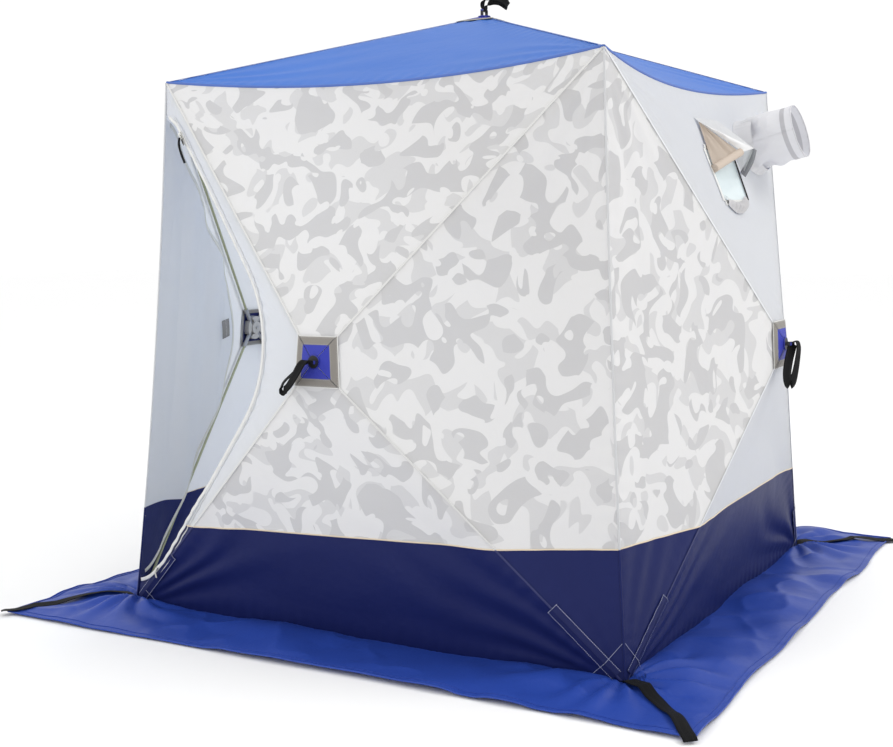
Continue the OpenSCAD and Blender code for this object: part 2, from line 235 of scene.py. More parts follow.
# ---- faces and panels
class Panel:
    """One triangle of a face: a runs along its outer edge and r from that edge to the hub."""

    def __init__(self, face, sides, k, corners, apex, normal):
        self.face, self.side, self.k = face, sides[k], k
        self.node = f"{face}_panel_{sides[k]}"
        self.start, self.end, self.apex, self.normal = corners[k], corners[(k + 1) % 4], apex, normal
        self.length = np.linalg.norm(self.end - self.start)
        self.along = (self.end - self.start) / self.length
        self.hub_along = (apex - self.start) @ self.along
        inward = apex - self.start - self.hub_along * self.along
        self.reach = np.linalg.norm(inward)
        self.inward = inward / self.reach
        self.out = np.cross(self.along, self.inward)
        middle = (self.start + self.end) / 2
        towards = -unit(np.array([middle[0], middle[1], 0]))
        high = [p[2] > 1 for p in (self.start, self.end)]
        if all(high):
            self.sag = (towards + [0, 0, -1]) * math.sqrt(0.5) * EAVE_SAG
        elif any(high):
            self.sag = towards * UPRIGHT_SAG
        else:
            self.sag = np.zeros(3)

    def span(self, s, t):
        """Place from s, -1 to 1 across, and t, 0 at the edge to 1 at the hub."""
        return self.length / 2 * (1 - t) * (1 + s) + self.hub_along * t, self.reach * t

    def across(self, a, r):
        t = np.minimum(r / self.reach, 0.999)
        return 2 * (a - self.hub_along * t) / ((1 - t) * self.length) - 1, t

    def flat(self, a, r, off=0.0):
        a, r, off = np.broadcast_arrays(np.asarray(a, float), np.asarray(r, float), np.asarray(off, float))
        a, r, off = a[..., None], r[..., None], off[..., None]
        return self.start + a * self.along + r * self.inward + off * self.out

    def at(self, a, r, off=0.0):
        a, r = np.asarray(a, float), np.asarray(r, float)
        s, t = self.across(a, r)
        drop = np.clip(1 - s * s, 0, 1) * (1 - t) ** 3
        return self.flat(a, r, off) + drop[..., None] * self.sag

    def seam(self, which):
        """A seam's direction in a and r: 0 from the outer edge's start, 1 from its end, a turned round."""
        return unit(np.array([self.length - self.hub_along if which else self.hub_along, self.reach]))

    def seam_places(self, a, r):
        """Distance from each seam and from the outer edge, and the place along each."""
        left, right = self.seam(0), self.seam(1)
        b = self.length - a
        return ((a * left[1] - r * left[0], a * left[0] + r * left[1]),
                (b * right[1] - r * right[0], b * right[0] + r * right[1]), (r, a))

    def blend(self, obj):
        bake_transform(obj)
        return obj


PANELS = {}
for face in FACES:
    sides = ROOF_SIDES if face == "roof" else WALL_SIDES
    corners = [np.array(JOINTS[f"{face}_panel_{s}_fold"]["pos_m"]) for s in sides]
    normal = np.array(JOINTS[f"{face}_hub_pop"]["axis"])
    apex = np.array(JOINTS[f"{face}_pull_loop_swing"]["pos_m"]) - LOOP_RISE * normal
    for k in range(4):
        PANELS[face, sides[k]] = Panel(face, sides, k, corners, apex, normal)


def pucker(d, along, seed, size=0.0019, pitch=0.052, reach=0.020):
    """Short wrinkles square to a seam, largest just beside it."""
    wander = 2.2 * soft_noise(along * 7, along * 0 + seed, seed)
    strength = 0.45 + 0.55 * soft_noise(along * 2.6, along * 0 + 3.3, seed + 3)
    rise = np.clip(d, 0, None) / reach
    return size * np.sin(2 * math.pi * along / pitch + wander) * rise * np.exp(1 - rise) * strength


def relief(panel, a, r, seed=0):
    """How far the stretched fabric stands off its own plane, in metres."""
    edges = [(np.clip(d, 0, None), along) for d, along in panel.seam_places(a, r)]
    (d1, _), (d2, _), (d3, _) = edges
    clear = math.prod(1 - np.exp(-d / SEAM_REACH) for d in (d1, d2, d3))
    bowl = -0.011 * clear * np.clip(d1 * d2 * d3 / 0.03, 0, 1)
    broad = 0.0042 * soft_noise(a * 1.9, r * 1.9, seed) + 0.0016 * soft_noise(a * 5.5, r * 5.5, seed + 5)
    out = bowl + broad * clear
    for n, (d, along) in enumerate(edges):
        weight = 1.6 if n == 2 and panel.sag[2] < -0.05 else 1.0
        out += weight * pucker(d, along, seed + n)
    # Folds that fan out from the two corners of the outer edge
    for n, (x, corner_seed) in enumerate(((a, 11), (panel.length - a, 13))):
        far = np.hypot(x, r)
        turn = np.arctan2(r, x)
        size = 0.0090 if panel.side == "lower" else 0.0042
        fan = np.sin(turn * 26 + corner_seed + 2.0 * soft_noise(far * 3, turn * 3, seed + n))
        out += size * fan * clear * (far / FAN_REACH) * np.exp(1 - far / FAN_REACH) * 0.8
    return out


# Height of the navy band's top edge at each wall's two ends, left and right as seen from outside
BAND = {"front": (0.300, 0.376), "right": (0.376, 0.396), "back": (0.396, 0.385), "left": (0.385, 0.300)}


def band_height(panel, points):
    """Height above the band's top edge, and the place along the wall."""
    left, right = BAND[panel.face]
    side = unit(np.cross(UP, unit(np.array([panel.normal[0], panel.normal[1], 0]))))
    x = points @ side
    return np.stack([points[..., 2] - (left + (right - left) * (x + 0.9) / 1.8), x], -1)


# ---- materials
class Shader:
    """A node material, built a step at a time."""

    def __init__(self, name):
        self.material = bpy.data.materials.new(name)
        self.material.use_nodes = True
        self.tree = self.material.node_tree
        self.tree.nodes.clear()

    def add(self, kind, **values):
        node = self.tree.nodes.new(kind)
        for key, value in values.items():
            setattr(node, key, value)
        return node

    def put(self, socket, value):
        if isinstance(value, bpy.types.NodeSocket):
            self.tree.links.new(value, socket)
        else:
            socket.default_value = (*value, 1) if socket.type == "RGBA" else value

    def math(self, operation, *values):
        node = self.add("ShaderNodeMath", operation=operation)
        for socket, value in zip(node.inputs, values):
            self.put(socket, value)
        return node.outputs[0]

    def times(self, a, b):
        return self.math("MULTIPLY", a, b)

    def near(self, value, middle, half):
        """1 within half of the middle, and 0 elsewhere."""
        return self.math("LESS_THAN", self.math("ABSOLUTE", self.math("SUBTRACT", value, middle)), half)

    def dashes(self, along, pitch, share):
        return self.math("LESS_THAN", self.math("FRACT", self.math("DIVIDE", along, pitch)), share)

    def vector(self, operation, *values):
        node = self.add("ShaderNodeVectorMath", operation=operation)
        for socket, value in zip(node.inputs, values):
            self.put(socket, value)
        return node.outputs["Value" if operation in ("DISTANCE", "DOT_PRODUCT") else "Vector"]

    def mix(self, factor, a, b):
        node = self.add("ShaderNodeMix", data_type="RGBA")
        for k, value in ((0, factor), (6, a), (7, b)):
            self.put(node.inputs[k], value)
        return node.outputs[2]

    def either(self, share, a, b):
        """Shader a, with b mixed in."""
        node = self.add("ShaderNodeMixShader")
        for socket, value in zip(node.inputs, (share, a, b)):
            self.put(socket, value)
        return node.outputs[0]

    def solid(self):
        """A rigid part's own coordinates, which hold still on it because the part doesn't bend."""
        return self.add("ShaderNodeTexCoord").outputs["Object"]

    def shown(self, surface):
        self.put(self.add("ShaderNodeOutputMaterial").inputs["Surface"], surface)
        return self.material

    def map(self, name):
        """The UV map as a vector, and its two numbers."""
        place = self.add("ShaderNodeUVMap", uv_map=name).outputs[0]
        parts = self.add("ShaderNodeSeparateXYZ")
        self.put(parts.inputs[0], place)
        return place, parts.outputs[0], parts.outputs[1]

    def noise(self, place, scale, detail=2.0, rough=0.5, colour=False):
        node = self.add("ShaderNodeTexNoise")
        self.put(node.inputs["Vector"], place)
        for key, value in (("Scale", scale), ("Detail", detail), ("Roughness", rough)):
            node.inputs[key].default_value = value
        return node.outputs["Color" if colour else "Fac"]

    def step(self, value, edge, soft):
        """0 below the edge and 1 above it, with a short smooth ramp."""
        node = self.add("ShaderNodeMapRange", interpolation_type="SMOOTHSTEP")
        self.put(node.inputs["Value"], value)
        node.inputs["From Min"].default_value = edge - soft
        node.inputs["From Max"].default_value = edge + soft
        return node.outputs[0]

    def finish(self, colour, rough=0.6, height=None, depth=0.0006, through=0.0, metal=0.0, sheen=0.0,
               specular=0.5, light=None):
        shader = self.add("ShaderNodeBsdfPrincipled")
        self.put(shader.inputs["Base Color"], colour)
        self.put(shader.inputs["Roughness"], rough)
        shader.inputs["Metallic"].default_value = metal
        shader.inputs["Sheen Weight"].default_value = sheen
        shader.inputs["Specular IOR Level"].default_value = specular
        if height is not None:
            bump = self.add("ShaderNodeBump")
            bump.inputs["Distance"].default_value = depth
            self.put(bump.inputs["Height"], height)
            self.put(shader.inputs["Normal"], bump.outputs[0])
        surface = shader.outputs[0]
        if through:
            glow = self.add("ShaderNodeBsdfTranslucent")
            self.put(glow.inputs["Color"], light)
            surface = self.either(through, surface, glow.outputs[0])
        return self.shown(surface)


NAVY = (0.0088, 0.0140, 0.084)
ROYAL = (0.060, 0.185, 0.62)
SKIRT_BLUE = (0.022, 0.064, 0.37)
WHITE = (0.755, 0.755, 0.755)
PIPING = (0.78, 0.66, 0.50)
CAMO_LIGHT = (0.785, 0.772, 0.755)
CAMO_MID = (0.665, 0.653, 0.640)
CAMO_DARK = (0.585, 0.573, 0.563)
HUB_BLUE = (0.022, 0.032, 0.34)
SLEEVE_GLOW = (0.72, 0.73, 0.80)
STITCH = 0.0055  # from one stitch to the next
STITCH_SHARE = 0.62  # the part of it that shows thread


def shade(colour, share):
    return tuple(v * share for v in colour)


def creases(sh, place):
    """Height of the weave and of small creases in thin cloth."""
    fine = sh.noise(sh.vector("MULTIPLY", place, (900.0, 420.0, 1.0)), 1.0, 1.0)
    crumple = sh.noise(place, 22.0, 3.0, 0.55)
    return sh.math("ADD", sh.times(fine, 0.10), crumple)


def camo(sh, place):
    bend = sh.vector("SUBTRACT", sh.noise(place, 6.5, 0.0, 0.5, True), (0.5, 0.5, 0.5))
    warped = sh.vector("ADD", place, sh.vector("MULTIPLY", bend, (0.12, 0.12, 0.12)))

    def blobs(shift, scale, edge, cut_scale, cut_edge):
        moved = sh.vector("ADD", warped, (shift, shift * 0.6, 0.0))
        whole = sh.step(sh.noise(moved, scale, 0.0), edge, 0.006)
        cut = sh.step(sh.noise(sh.vector("ADD", moved, (2.7, 5.1, 0.0)), cut_scale, 0.0), cut_edge, 0.006)
        return sh.times(whole, sh.math("SUBTRACT", 1.0, cut))

    colour = sh.mix(blobs(3.1, 12.0, 0.515, 16.5, 0.575), CAMO_LIGHT, CAMO_MID)
    return sh.mix(blobs(0.0, 13.0, 0.520, 17.5, 0.590), colour, CAMO_DARK)


def wall_cloth(name, printed):
    """Cloth of a wall: navy below the band's top, with a piped line, and white or camouflage above it."""
    sh = Shader(name)
    place, above = sh.map("cloth")[0], sh.map("band")[1]
    tone = sh.noise(place, 3.0, 2.0)
    upper = camo(sh, place) if printed else sh.mix(tone, WHITE, shade(WHITE, 0.965))
    high = sh.step(above, 0.0, 0.0006)
    colour = sh.mix(high, sh.mix(tone, NAVY, shade(NAVY, 1.25)), upper)
    rough = sh.math("ADD", sh.times(high, 0.16), 0.44)
    through = sh.times(high, 0.16 if printed else 0.34)
    return sh.finish(colour, rough, creases(sh, place), 0.0016, through, specular=0.16,
                     light=(0.80, 0.82, 0.85))


def plain_cloth(name, colour, rough=0.5, through=0.0, light=WHITE, vary=0.9, depth=0.0016):
    sh = Shader(name)
    place = sh.map("cloth")[0]
    tone = sh.mix(sh.noise(place, 4.0, 2.0), colour, shade(colour, vary))
    return sh.finish(tone, rough, creases(sh, place), depth, through, specular=0.25, light=light)


def stitched(name, colour, thread, half, rough=0.6, place_of_seam=0.72, rib=0.0):
    """Tape or webbing with a run of stitches near each edge."""
    sh = Shader(name)
    place, across, along = sh.map("cloth")
    line = sh.near(sh.math("ABSOLUTE", across), half * place_of_seam, 0.0009)
    base = sh.mix(sh.noise(place, 30.0, 2.0), colour, shade(colour, 0.8))
    height = sh.noise(place, 260.0, 1.0)
    if rib:
        height = sh.math("ADD", height, sh.math("SINE", sh.times(along, 2 * math.pi / rib)))
    on = sh.times(line, sh.dashes(along, STITCH, STITCH_SHARE))
    return sh.finish(sh.mix(on, base, thread), rough, height, 0.0004, specular=0.15)


def object_finish(name, colour, rough, vary, metal=0.0):
    """Finish of a rigid moulded or metal part."""
    sh = Shader(name)
    place = sh.solid()
    tone = sh.mix(sh.noise(place, 15.0, 3.0), colour, shade(colour, vary))
    return sh.finish(tone, rough, sh.noise(place, 360.0, 2.0), 0.0002, metal=metal)


FERRULE_REACH = 0.071  # the ferrule's end, from the rod's hinge pin


def rod_finish(name, pin):
    """Olive fibreglass, with a grey metal ferrule next to the hinge pin."""
    sh = Shader(name)
    place = sh.solid()
    beyond = sh.step(sh.vector("DISTANCE", place, pin), FERRULE_REACH, 0.0008)
    streak = sh.noise(sh.vector("MULTIPLY", place, (90.0, 90.0, 90.0)), 1.0, 3.0)
    colour = sh.mix(beyond, (0.33, 0.33, 0.34), sh.mix(streak, (0.40, 0.41, 0.26), (0.30, 0.31, 0.18)))
    return sh.finish(colour, 0.38, streak, 0.0001)


def hub_finish(name, centre, out):
    """Pale plastic inside, a blue plate over the cloth and a black eye in its middle."""
    sh = Shader(name)
    place = sh.solid()
    level = sh.vector("DOT_PRODUCT", sh.vector("SUBTRACT", place, tuple(centre)), out)
    outside = sh.step(level, -0.008, 0.0005)
    plate = sh.step(sh.vector("DISTANCE", place, centre + out * 0.012), 0.021, 0.0008)
    grain = sh.noise(place, 15.0, 3.0)
    pale = sh.mix(grain, (0.50, 0.48, 0.45), (0.40, 0.385, 0.36))
    shown = sh.mix(plate, (0.008, 0.008, 0.009), sh.mix(grain, HUB_BLUE, (0.018, 0.026, 0.28)))
    return sh.finish(sh.mix(outside, pale, shown), 0.5, sh.noise(place, 360.0, 2.0), 0.0002)


CAMO_CLOTH = wall_cloth("camouflage_cloth", True)
WALL_CLOTH = wall_cloth("wall_cloth", False)
ROOF_CLOTH = plain_cloth("roof_cloth", ROYAL, 0.46, 0.20, (0.10, 0.30, 0.80), 0.93)
SKIRT_CLOTH = plain_cloth("skirt_cloth", SKIRT_BLUE, 0.42, vary=0.85)
SLEEVE_CLOTH = plain_cloth("sleeve_cloth", (0.76, 0.755, 0.77), 0.55, 0.12, SLEEVE_GLOW)
POCKET_CLOTH = plain_cloth("pocket_cloth", (0.58, 0.57, 0.58), 0.45)
# the gusset's beige is darker than the roll's beige of the same cloth: painted shade for the recessed gusset
BEIGE_SHADED_CLOTH = plain_cloth("beige_painted_shade_cloth", (0.50, 0.42, 0.35), 0.65, 0.08, (0.62, 0.50, 0.40))
BEIGE_ROLL = plain_cloth("beige_roll", (0.58, 0.49, 0.41), 0.65)
HEM_WHITE = plain_cloth("hem_white", (0.82, 0.82, 0.82), 0.6)
PLAIN_WHITE = plain_cloth("plain_white", WHITE, 0.6, 0.30, (0.82, 0.84, 0.88))
# grey stitched tape that stands for painted shade on the inner side of the hood's right gusset
HOOD_SHADE_GREY = stitched("hood_painted_shade", (0.34, 0.34, 0.36), (0.55, 0.55, 0.56), 0.010)
SILVER_PATCH = stitched("silver_patch", (0.27, 0.255, 0.235), (0.62, 0.62, 0.60), 0.030)
WHITE_TAPE = stitched("white_tape", (0.80, 0.80, 0.78), (0.66, 0.66, 0.66), 0.006)
CREAM_TAPE = stitched("cream_tape", (0.74, 0.72, 0.64), (0.58, 0.57, 0.52), 0.0065)
PIPE_TAPE = plain_cloth("piping", PIPING, 0.55)
BLUE_TAPE = plain_cloth("blue_piping", (0.09, 0.17, 0.50), 0.5)
WEBBING = stitched("black_webbing", (0.007, 0.007, 0.008), (0.02, 0.02, 0.02), 0.012, 0.7, rib=0.0022)
NAVY_STRIP = stitched("navy_strip", (0.017, 0.023, 0.105), (0.42, 0.44, 0.58), 0.020, 0.5, 0.88)
THREAD = plain_cloth("thread", (0.36, 0.38, 0.52), 0.6)
ZIP_METAL = object_finish("zip_metal", (0.62, 0.62, 0.60), 0.3, 0.9, 1.0)


# ---- panels
def drop_unused(points, faces, maps):
    """Leaves out the points that no face uses."""
    used = np.unique(np.array([k for f in faces for k in f]))
    order = np.full(len(points), -1)
    order[used] = np.arange(len(used))
    return points[used], [tuple(order[k] for k in f) for f in faces], {n: v[used] for n, v in maps.items()}


def panel_cloth(panel, a, r, material, seed, hole=None, extra=0.0):
    """The sheet of one panel over a grid of places."""
    faces = grid_faces(*a.shape)
    a, r = a.ravel(), r.ravel()
    points = panel.at(a, r, relief(panel, a, r, seed) + np.ravel(extra))
    maps = {"cloth": np.stack([a + 3.7 * seed, r + 2.3 * seed], 1)}
    maps["band"] = maps["cloth"] if panel.face == "roof" else band_height(panel, points)
    if hole is not None:
        faces = [f for f in faces if not hole(np.mean(a[list(f)]), np.mean(r[list(f)]))]
        points, faces, maps = drop_unused(points, faces, maps)
    return panel.blend(add_mesh(panel.node + "_cloth", points, faces, material, maps))


def between(p, q, count):
    g = np.linspace(0, 1, count)[:, None]
    return np.asarray(p) * (1 - g) + np.asarray(q) * g


def laid_ribbon(name, panel, line, width, off, material, thick, seed=0):
    """A tape laid on a panel along a line of a, r places, following its sag and its relief."""
    a, r = line[:, 0], line[:, 1]
    path = panel.at(a, r, relief(panel, a, r, seed) + off)
    across = np.cross(panel.out, np.gradient(path, axis=0))
    return panel.blend(ribbon(name, path, across, width, thick, material))


DOOR_PANEL = PANELS["front", "left"]
VENT = PANELS["right", "upper"]
WINDOW = np.array([(0.874, 0.432), (0.634, 0.428), (0.600, 0.243), (0.862, 0.240)])  # a, r of its corners
WINDOW_SIDES = list(zip(WINDOW, np.roll(WINDOW, -1, axis=0)))
SLEEVE_AT = (0.400, 0.226)  # a, r of the sleeve's middle


def vent_hole(a, r):
    """Whether a place of the vent's panel is open: behind the window or in the sleeve."""
    x, y = (a - SLEEVE_AT[0]) / 0.080, (r - SLEEVE_AT[1]) / 0.084
    in_window = all((q[0] - p[0]) * (r - p[1]) - (q[1] - p[1]) * (a - p[0]) > 0 for p, q in WINDOW_SIDES)
    return in_window or x * x + y * y < 1


trims = {}  # pieces sewn on each panel


def sewn(panel, *pieces):
    trims.setdefault(panel.node, []).extend(pieces)


CLOTHS = {}
for n, panel in enumerate(PANELS.values()):
    if panel is DOOR_PANEL:
        continue
    near = panel.face in ("front", "right", "roof")
    cols, rows = (200, 90) if near else (110, 50)
    s, t = np.meshgrid(np.linspace(-1, 1, cols), np.linspace(0, CLOTH_TOP, rows))
    a, r = panel.span(s, t)
    printed = panel.face == "front" or (panel.face, panel.side) == ("right", "left")
    material = ROOF_CLOTH if panel.face == "roof" else CAMO_CLOTH if printed else WALL_CLOTH
    CLOTHS[panel.node] = panel_cloth(panel, a, r, material, n, vent_hole if panel is VENT else None)


# ---- door
DOOR_HEIGHT = 1.662  # where the zip starts on the corner edge, up from the edge's foot
DOOR_LOW = 0.088  # where it comes back to that edge
DOOR_ROUND = 0.350  # radius of the round at its apex
DOOR_MIDDLE = (0.930, 0.260)  # the round's centre: up from the foot, and in from the edge


def door_outline(count=220):
    """The zip's line, from the top of the corner edge round its apex to the foot."""
    far = DOOR_PANEL.length
    turn = np.radians(np.linspace(46, 126, 25))
    arc = np.stack([far - DOOR_MIDDLE[0] - DOOR_ROUND * np.cos(turn),
                    DOOR_MIDDLE[1] + DOOR_ROUND * np.sin(turn)], 1)
    head = [(far - DOOR_HEIGHT, 0.0), (far - 1.640, 0.060)]
    foot = [(far - 0.184, 0.157), (far - 0.100, 0.060), (far - DOOR_LOW, 0.0)]
    path = resample(np.concatenate([head, arc, foot]), count)
    for _ in range(30):
        path[1:-1] = (path[:-2] + 2 * path[1:-1] + path[2:]) / 4
    return path


DOOR_SEED = 31  # of the door frame's relief
OUTLINE = door_outline()
OUT_AHEAD = unit(np.gradient(OUTLINE, axis=0))
OUT_SIDE = np.stack([-OUT_AHEAD[:, 1], OUT_AHEAD[:, 0]], 1)  # towards the hub


def door_frame():
    """The white strip between the zip and the front wall's seams."""
    panel = DOOR_PANEL
    hub = np.array([panel.hub_along, panel.reach])
    foot = np.array([panel.length, 0.0])
    place = lengths(OUTLINE) / lengths(OUTLINE)[-1]
    split = place[np.argmin(np.linalg.norm(OUTLINE - hub, axis=1))]  # nearest to the hub
    g = place[:, None]
    up = hub * CLOTH_TOP * (1 - (1 - g / split) ** 2)
    down = (np.clip(g - split, 0, None) / (1 - split)) ** 1.5
    outer = np.where(g <= split, up, foot + (hub - foot) * CLOTH_TOP * (1 - down))
    x = np.linspace(0, 1, 26)[:, None, None] ** 1.3
    grid = OUTLINE + (outer - OUTLINE) * x
    pull = np.linalg.norm(outer - OUTLINE, axis=1) * x[..., 0]
    gather = 0.0060 * smooth_step((pull - 0.010) / 0.03) * np.exp(-pull / 0.035)
    gather *= np.sin(place * 190 + 5 * soft_noise(place * 9, place * 0, 4))
    gather *= 0.3 + 0.7 * np.exp(-((place - split) / 0.16) ** 2)
    return panel_cloth(panel, grid[..., 0], grid[..., 1], WALL_CLOTH, DOOR_SEED,
                       extra=gather - 0.004 * np.exp(-pull / 0.05))


CLOTHS[DOOR_PANEL.node] = door_frame()

SWING = JOINTS["door_flap_swing"]
FLAP_AXIS = -unit(np.array(SWING["axis"]))
FLAP_FOOT = np.array(SWING["pos_m"])
FLAP_TURN = math.radians(SWING["range_deg"][1])
FLAP_BEND = 0.030  # how far the slack flap falls towards the left wall at its apex
FLAP_BAND_RISE = 0.032  # how much higher the flap's band is cut at its hinge


def flap_fold(a, r):
    grow = np.minimum(r / 0.3, 1.0)
    bend = FLAP_BEND * (1 + 0.9 * smooth_step((DOOR_PANEL.length * 0.60 - a) / 0.5)) * (r / 0.6) ** 1.6
    wave = 0.010 * np.sin(r * 31 + 1.1 * soft_noise(a * 1.3, r * 2, 6))
    wave += 0.006 * soft_noise(a * 1.1, r * 13, 8)
    return grow * wave + 0.0015 * soft_noise(a * 18, r * 18, 9) * grow - bend


def opened(points):
    """Points of the closed door, swung to where the open flap is."""
    v = points - FLAP_FOOT
    along = (v @ FLAP_AXIS)[..., None] * FLAP_AXIS
    across = (v - along) * math.cos(FLAP_TURN) + np.cross(FLAP_AXIS, v) * math.sin(FLAP_TURN)
    return FLAP_FOOT + along + across


def flap_points(a, r, off=0.0):
    """Places on the open flap."""
    flat = DOOR_PANEL.flat(a, r, flap_fold(a, r) + off)
    s = 2 * a / DOOR_PANEL.length - 1
    flat_edge = (np.clip(1 - s * s, 0, 1) * np.exp(-r / 0.08))[..., None] * DOOR_PANEL.sag
    return opened(flat) + flat_edge


def on_flap(obj):
    opened(DOOR_PANEL.flat(0.9, 0.0))
    opened(DOOR_PANEL.flat(0.9, 0.06))
    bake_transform(obj)
    return obj


def door_flap():
    inner = OUTLINE - OUT_SIDE * 0.004
    r = np.clip(inner[:, 1], 0, None) * np.linspace(0, 1, 60)[:, None]
    a = inner[:, 0] + 0 * r
    band = band_height(DOOR_PANEL, DOOR_PANEL.at(a, r))
    band[..., 0] -= FLAP_BAND_RISE * (1 - smooth_step((r - 0.06) / 0.27))
    return on_flap(add_grid("door_flap_cloth", flap_points(a, r), WALL_CLOTH, a + 9.1, r + 4.4, band=band))


FLAP = door_flap()


def flap_ribbon(name, line, width, material, thick=0.0014):
    path = flap_points(line[:, 0], line[:, 1])
    side = flap_points(line[:, 0], line[:, 1], 0.01) - path
    return on_flap(ribbon(name, path, np.cross(side, np.gradient(path, axis=0)), width, thick, material))


FLAP_ZIP = flap_ribbon("flap_zip_tape", (OUTLINE - OUT_SIDE * 0.009)[4:-4], 0.013, CREAM_TAPE)
outer = (OUTLINE + OUT_SIDE * 0.005)[2:-2]
# Near the foot the tape lies over the rod pocket
over_pocket = smooth_step((outer[:, 0] - DOOR_PANEL.length + 0.50) / 0.12)
FRAME_ZIP = laid_ribbon("frame_zip_tape", DOOR_PANEL, outer, 0.012, 0.0075 * over_pocket - 0.0022,
                        WHITE_TAPE, 0.0010, DOOR_SEED)
FRAME_WELT = laid_ribbon("door_welt", DOOR_PANEL, (OUTLINE + OUT_SIDE * 0.020)[6:-6], 0.005, 0.0006,
                         PLAIN_WHITE, 0.0012, DOOR_SEED)
far = DOOR_PANEL.length
FLAP_PATCH = flap_ribbon("flap_patch", between((far - 0.965, 0.490), (far - 0.900, 0.505), 8), 0.095,
                         SILVER_PATCH, 0.006)


# ---- seams, piping and patches
def seam_cloth(name, colour, thread):
    sh = Shader(name)
    place, across, along = sh.map("cloth")
    line = sh.near(sh.math("ABSOLUTE", across), 0.0028, 0.0005)
    upper = sh.mix(sh.times(line, sh.dashes(along, STITCH, STITCH_SHARE)), colour, thread)
    mixed = sh.mix(sh.step(sh.map("band")[1], 0.0, 0.0006), (0.022, 0.028, 0.12), upper)
    return sh.finish(mixed, 0.55, sh.noise(place, 200.0, 1.0), 0.0003)


SEAM_CAMO = seam_cloth("seam_camouflage", (0.66, 0.655, 0.64), (0.80, 0.80, 0.78))
SEAM_WHITE = seam_cloth("seam_white", (0.74, 0.75, 0.77), (0.62, 0.62, 0.63))
SEAM_ROOF = plain_cloth("seam_roof", (0.10, 0.19, 0.52), 0.5)


def with_band(obj, panel, rise=0.0):
    """Adds the band map to a trim, from where its points are."""
    points = np.zeros(len(obj.data.vertices) * 3)
    obj.data.vertices.foreach_get("co", points)
    add_map(obj.data, "band", band_height(panel, points.reshape(-1, 3)) - [rise, 0])


def neighbour(panel, step):
    sides = ROOF_SIDES if panel.face == "roof" else WALL_SIDES
    return PANELS[panel.face, sides[(panel.k + step) % 4]]


for panel in PANELS.values():
    # The seam at the start of this panel's outer edge, laid over the ridge between two panels
    a, r = np.outer(panel.seam(0), np.linspace(0.004, 0.93 * math.hypot(panel.hub_along, panel.reach), 60))
    ridge = unit(panel.out + neighbour(panel, -1).out)
    path = panel.at(a, r) + ridge * 0.0012
    ahead = np.gradient(path, axis=0)
    material = SEAM_ROOF if panel.face == "roof" else SEAM_CAMO if panel.face == "front" else SEAM_WHITE
    tape = ribbon(f"{panel.node}_seam", path, np.cross(ridge, ahead), 0.0065, 0.0014, material)
    if panel.face != "roof":
        with_band(tape, panel)
    sewn(panel, panel.blend(tape))


def band_line(panel):
    """Places where the navy band's top edge crosses a wall panel."""
    a, r = panel.span(*np.meshgrid(np.linspace(-1, 1, 240), np.linspace(0.002, 0.98, 240)))
    keep = np.interp(a, OUTLINE[:, 0], OUTLINE[:, 1]) < r if panel is DOOR_PANEL else r > 0
    high = band_height(panel, panel.at(a, r))[..., 0]
    found = []
    if panel.side == "lower":
        a, r, high, keep = a.T, r.T, high.T, keep.T
    for k in range(a.shape[0]):
        cross = np.where(np.diff(np.sign(high[k])) != 0)[0]
        for c in cross[:1]:
            if keep[k, c]:
                w = high[k, c] / (high[k, c] - high[k, c + 1])
                found.append((a[k, c] + w * (a[k, c + 1] - a[k, c]), r[k, c] + w * (r[k, c + 1] - r[k, c])))
    return np.array(found)


for n, panel in enumerate(PANELS.values()):
    if panel.face != "roof" and panel.side != "upper":
        sewn(panel, laid_ribbon(f"{panel.node}_piping", panel, resample(band_line(panel), 90), 0.0042, 0.0012,
                                PIPE_TAPE, 0.0026, DOOR_SEED if panel is DOOR_PANEL else n))


PATCH_HALF = 0.0752  # half the hub patch's side, as far is measured on it
PATCH_FAR = 0.078
PATCH_NEAR = 0.010


def patch_cloth(name, inner_low, inner_high, inner_half):
    """Silver square with an inner square of another colour, each with a stitched rim."""
    sh = Shader(name)
    place, across, far = sh.map("cloth")
    grain = sh.noise(sh.vector("MULTIPLY", place, (70.0, 900.0, 1.0)), 1.0, 2.0)
    silver = sh.mix(grain, (0.205, 0.190, 0.172), (0.270, 0.252, 0.230))
    blue = sh.mix(grain, inner_low, inner_high)
    colour = sh.mix(sh.step(far, inner_half, 0.0005), blue, silver)
    edge = sh.step(far, PATCH_HALF, 0.0005)
    rims = sh.math("ADD", *(sh.near(far, at, 0.0005) for at in (inner_half + 0.0025, PATCH_HALF - 0.0027)))
    stitch = sh.times(sh.dashes(across, 1 / 16, 0.6), rims)
    mitre = sh.math("GREATER_THAN", sh.math("ABSOLUTE", across), 0.975)
    mitre = sh.times(mitre, sh.math("GREATER_THAN", far, inner_half))
    colour = sh.mix(sh.times(stitch, 0.5), colour, (0.6, 0.6, 0.58))
    colour = sh.mix(sh.times(mitre, 0.5), colour, (0.12, 0.12, 0.12))
    return sh.finish(sh.mix(edge, colour, (0.70, 0.70, 0.68)), 0.5, grain, 0.0003, specular=0.3)


HUB_PATCH = patch_cloth("hub_patch", HUB_BLUE, (0.034, 0.046, 0.42), 0.0505)
LINING_PATCH = patch_cloth("lining_patch", (0.010, 0.016, 0.090), (0.014, 0.022, 0.120), 0.0600)


def hub_patch(panel, off, name, material):
    """A quarter of the square patch that covers the hub, on one panel."""
    s, far = np.meshgrid(np.linspace(-1, 1, 25), np.linspace(PATCH_FAR, PATCH_NEAR, 16))
    a, r = panel.span(s, 1 - far / panel.reach)
    swell = 0.0012 * np.sin(math.pi * np.clip((far - 0.05) / 0.026, 0, 1)) * (1 - s ** 8)
    crease = 0.0005 * soft_noise(s * 5, far * 160, panel.k)
    piece = add_grid(name, panel.at(a, r, off + np.sign(off) * swell + crease), material, s, far)
    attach(piece, panel.node)
    sewn(panel, piece)


for panel in PANELS.values():
    hub_patch(panel, 0.0045, f"{panel.node}_patch", HUB_PATCH)
    hub_patch(panel, -0.0030, f"{panel.node}_lining_patch", LINING_PATCH)


